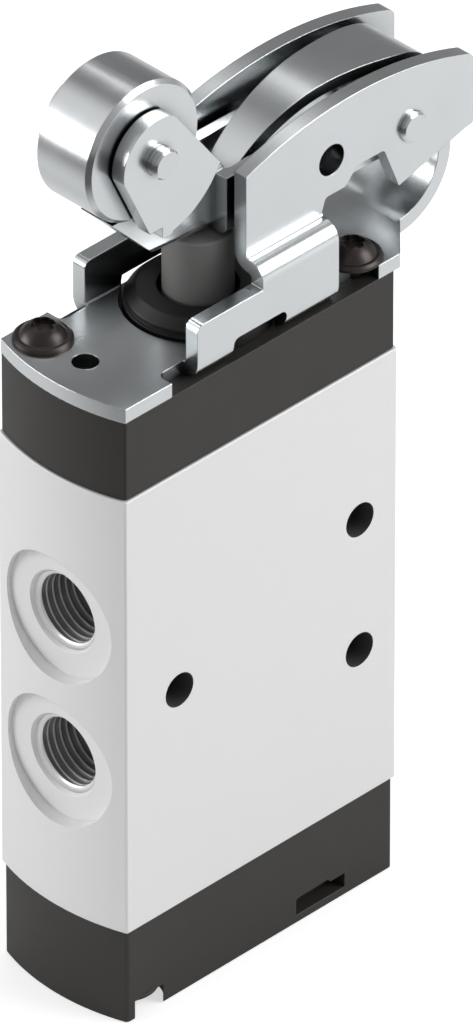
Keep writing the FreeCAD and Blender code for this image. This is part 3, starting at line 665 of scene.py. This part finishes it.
def coil_mesh(name, radius, height, wire, turns):
    """Round wire wound as a helix up from the origin, with flat ends."""
    sides, steps_per_turn = 10, 36
    steps = turns * steps_per_turn
    up = Vector((0.0, 0.0, 1.0))
    mesh = bmesh.new()
    rings = []
    for k in range(steps + 1):
        angle = 2.0 * math.pi * turns * k / steps
        out = Vector((math.cos(angle), math.sin(angle), 0.0))
        middle = out * radius + up * (wire / 2.0 + (height - wire) * k / steps)
        ring = []
        for j in range(sides):
            turn = 2.0 * math.pi * j / sides
            across = out * math.cos(turn) + up * math.sin(turn)
            ring.append(mesh.verts.new(middle + across * wire / 2.0))
        rings.append(ring)
    for k in range(steps):
        for j in range(sides):
            face = mesh.faces.new((rings[k][j - 1], rings[k + 1][j - 1], rings[k + 1][j], rings[k][j]))
            face.smooth = True
    mesh.faces.new(rings[0])
    mesh.faces.new(reversed(rings[-1]))
    return drawn(mesh, name)


class VALVE_OT_spring_coil(bpy.types.Operator):
    """Return spring of round wire, in place of the solid one"""

    bl_idname = "valve.spring_coil"
    bl_label = "Wind the return spring"

    def execute(self, context):
        sizes = context.scene.valve_spring
        slides = [joint for joint in frame["joints"] if joint["name"] == "spool_slide"]
        if not slides:
            raise RuntimeError("the record names no slide of the spool")
        low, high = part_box("return_spring")
        height = high.z - low.z
        radius = (high.x - low.x - sizes.wire) / 2.0
        data = coil_mesh("return_spring_coil", radius, height, sizes.wire, sizes.turns)
        wire = satin_metal(
            "spring_wire", context.scene.valve_colours.spring, metallic=1.0, rough=0.3, bump=0.05,
            edge_radius=0.0001,
        )
        data.materials.append(wire)
        coil = new_object(context, "return_spring_coil", data)
        coil.location = ((low.x + high.x) / 2.0, (low.y + high.y) / 2.0, low.z)
        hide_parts("return_spring")
        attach(coil, "housing")
        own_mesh(coil)
        return {"FINISHED"}


def soft_box(context, name, place, size, power):
    """Rectangular lamp turned to the middle of the valve."""
    target = Vector((0.0, 0.0, 0.09))
    light = bpy.data.lights.new(name, "AREA")
    light.shape = "RECTANGLE"
    light.size, light.size_y = size
    light.energy = power
    lamp = new_object(context, name, light)
    lamp.location = place
    lamp.rotation_euler = (target - Vector(place)).to_track_quat("-Z", "Y").to_euler()


def toward(tree, place, direction, measured, given):
    """A level given over a measured range of how far this place lies towards a direction."""
    dot = add(tree, "ShaderNodeVectorMath", operation="DOT_PRODUCT")
    dot.inputs[1].default_value = direction
    tree.links.new(place, dot.inputs[0])
    ramp = add(tree, "ShaderNodeMapRange")
    for label, value in zip(("From Min", "From Max", "To Min", "To Max"), measured + given):
        ramp.inputs[label].default_value = value
    tree.links.new(dot.outputs["Value"], ramp.inputs["Value"])
    return ramp.outputs["Result"]


def surround(context, level):
    """The studio's world: paler to the flat side, a darker panel behind, a bright card in front of the
    port face, and plain white where the camera sees it."""
    world = bpy.data.worlds.new("studio")
    world.use_nodes = True
    tree = world.node_tree
    tree.nodes.clear()
    out = add(tree, "ShaderNodeOutputWorld")
    sky = add(tree, "ShaderNodeTexCoord").outputs["Generated"]
    slope = toward(tree, sky, direction=(0.8, 0.6, 0.1), measured=(-1.0, 1.0), given=(0.35, 1.0))
    panel = toward(tree, sky, direction=(-0.577, 0.577, 0.577), measured=(0.6, 1.0), given=(1.0, 0.62))
    card = toward(tree, sky, direction=(-0.6, -0.55, 0.58), measured=(0.84, 0.97), given=(0.0, 1.3))
    shade = maths(tree, "ADD", maths(tree, "MULTIPLY", slope, panel), card)
    soft = add(tree, "ShaderNodeBackground")
    tree.links.new(maths(tree, "MULTIPLY", shade, level), soft.inputs["Strength"])
    white = add(tree, "ShaderNodeBackground")
    white.inputs["Color"].default_value = (1.0, 1.0, 1.0, 1.0)
    path = add(tree, "ShaderNodeLightPath")
    mix = add(tree, "ShaderNodeMixShader")
    tree.links.new(path.outputs["Is Camera Ray"], mix.inputs[0])
    tree.links.new(soft.outputs[0], mix.inputs[1])
    tree.links.new(white.outputs[0], mix.inputs[2])
    tree.links.new(mix.outputs[0], out.inputs[0])
    context.scene.world = world


def floor_finish():
    """White where the camera sees it; where polished metal mirrors it, dark in front of the valve."""
    colour, seen_glow, mirrored_glow = 0.72, 0.62, 0.12
    material, tree, shader = new_material("pale_floor")
    shader.inputs["Roughness"].default_value = 0.9
    shader.inputs["Emission Color"].default_value = (1.0, 1.0, 1.0, 1.0)
    path = add(tree, "ShaderNodeLightPath")
    camera, mirror = path.outputs["Is Camera Ray"], path.outputs["Is Glossy Ray"]
    place = add(tree, "ShaderNodeTexCoord").outputs["Object"]
    pale = toward(tree, place, direction=(-0.5, 0.87, 0.0), measured=(-0.2, -0.06), given=(0.12, 1.0))
    taken = maths(tree, "MULTIPLY", mirror, maths(tree, "SUBTRACT", 1.0, pale))
    kept = maths(tree, "SUBTRACT", 1.0, taken)
    tree.links.new(maths(tree, "MULTIPLY", kept, colour), shader.inputs["Base Color"])
    seen = maths(tree, "MULTIPLY", camera, seen_glow)
    mirrored = maths(tree, "MULTIPLY", mirror, maths(tree, "MULTIPLY", pale, mirrored_glow))
    tree.links.new(maths(tree, "ADD", seen, mirrored), shader.inputs["Emission Strength"])
    return material


def pale_floor(context):
    """Plain floor just under the valve, which keeps a faint shadow."""
    reach, gap = 3.0, 0.0002
    mesh = bmesh.new()
    bmesh.ops.create_grid(mesh, x_segments=1, y_segments=1, size=reach)
    data = drawn(mesh, "floor")
    data.materials.append(floor_finish())
    floor = new_object(context, "floor", data)
    floor.location.z = -gap


def camera_view(context):
    """Long lens along the photograph's equal-angle line of sight, placed by one corner of the bracket."""
    # In pixels: the photograph's size, and where the bracket's near corner lies in it
    photo_width, photo_height = 473.0, 1024.0
    corner_across, corner_down = 125.3, 412.6
    # That corner, the size of a pixel, and how far behind the corner a pixel has that size
    corner = Vector((0.01325, -0.02885, 0.1137))
    pixel = 0.00015105
    scale_depth = 0.0437
    # In millimetres
    lens, sensor = 740.0, 36.0

    right = Vector((math.sqrt(0.5), math.sqrt(0.5), 0.0))
    back = Vector((1.0, -1.0, 1.0)).normalized()
    up = back.cross(right)
    across = photo_width / 2.0 - corner_across
    above = corner_down - photo_height / 2.0
    middle = corner + right * pixel * across + up * pixel * above - back * scale_depth
    camera = bpy.data.cameras.new("camera")
    camera.lens = lens
    camera.sensor_width = sensor
    camera.clip_start, camera.clip_end = 0.1, 50.0
    eye = new_object(context, "camera", camera)
    eye.location = middle + back * (photo_height * pixel * lens / sensor)
    eye.rotation_euler = back.to_track_quat("Z", "Y").to_euler()
    context.scene.camera = eye


class VALVE_OT_studio(bpy.types.Operator):
    """Floor, soft lights, surround and camera"""

    bl_idname = "valve.studio"
    bl_label = "Set up the studio"

    def execute(self, context):
        levels = context.scene.valve_studio
        pale_floor(context)
        surround(context, levels.sky)
        soft_box(context, "key_box", place=(0.8, 0.6, 0.68), size=(0.7, 0.8), power=levels.key)
        soft_box(context, "fill_box", place=(-0.74, -0.74, 0.3), size=(0.75, 0.44), power=levels.fill)
        soft_box(context, "top_box", place=(-0.2, 0.3, 1.0), size=(0.6, 0.6), power=levels.top)
        camera_view(context)
        context.scene.view_settings.view_transform = "Standard"
        return {"FINISHED"}


groups = {
    "valve_threads": ThreadSizes,
    "valve_spring": SpringSizes,
    "valve_colours": FinishColours,
    "valve_studio": StudioLevels,
}

operators = (
    VALVE_OT_housing_finish,
    VALVE_OT_plunger_finish,
    VALVE_OT_steel_finish,
    VALVE_OT_roller_finish,
    VALVE_OT_port_threads,
    VALVE_OT_spring_coil,
    VALVE_OT_studio,
)


class VALVE_PT_panel(bpy.types.Panel):
    """Sizes, colours and steps of the valve's dressing"""

    bl_idname = "VALVE_PT_panel"
    bl_label = "Roller lever valve"
    bl_space_type = "VIEW_3D"
    bl_region_type = "UI"
    bl_category = "Valve"

    def draw(self, context):
        for name, kind in groups.items():
            box = self.layout.box()
            for key in kind.__annotations__:
                box.prop(getattr(context.scene, name), key)
        for step in operators:
            self.layout.operator(step.bl_idname)


classes = (*groups.values(), *operators, VALVE_PT_panel)


def register():
    for kind in classes:
        bpy.utils.register_class(kind)
    for name, kind in groups.items():
        setattr(bpy.types.Scene, name, PointerProperty(type=kind))


def unregister():
    for name in groups:
        delattr(bpy.types.Scene, name)
    for kind in reversed(classes):
        bpy.utils.unregister_class(kind)


def main():
    register()
    bpy.ops.valve.housing_finish()
    bpy.ops.valve.plunger_finish()
    bpy.ops.valve.steel_finish()
    bpy.ops.valve.roller_finish()
    bpy.ops.valve.port_threads()
    bpy.ops.valve.spring_coil()
    bpy.ops.valve.studio()


if __name__ == "__main__":
    main()
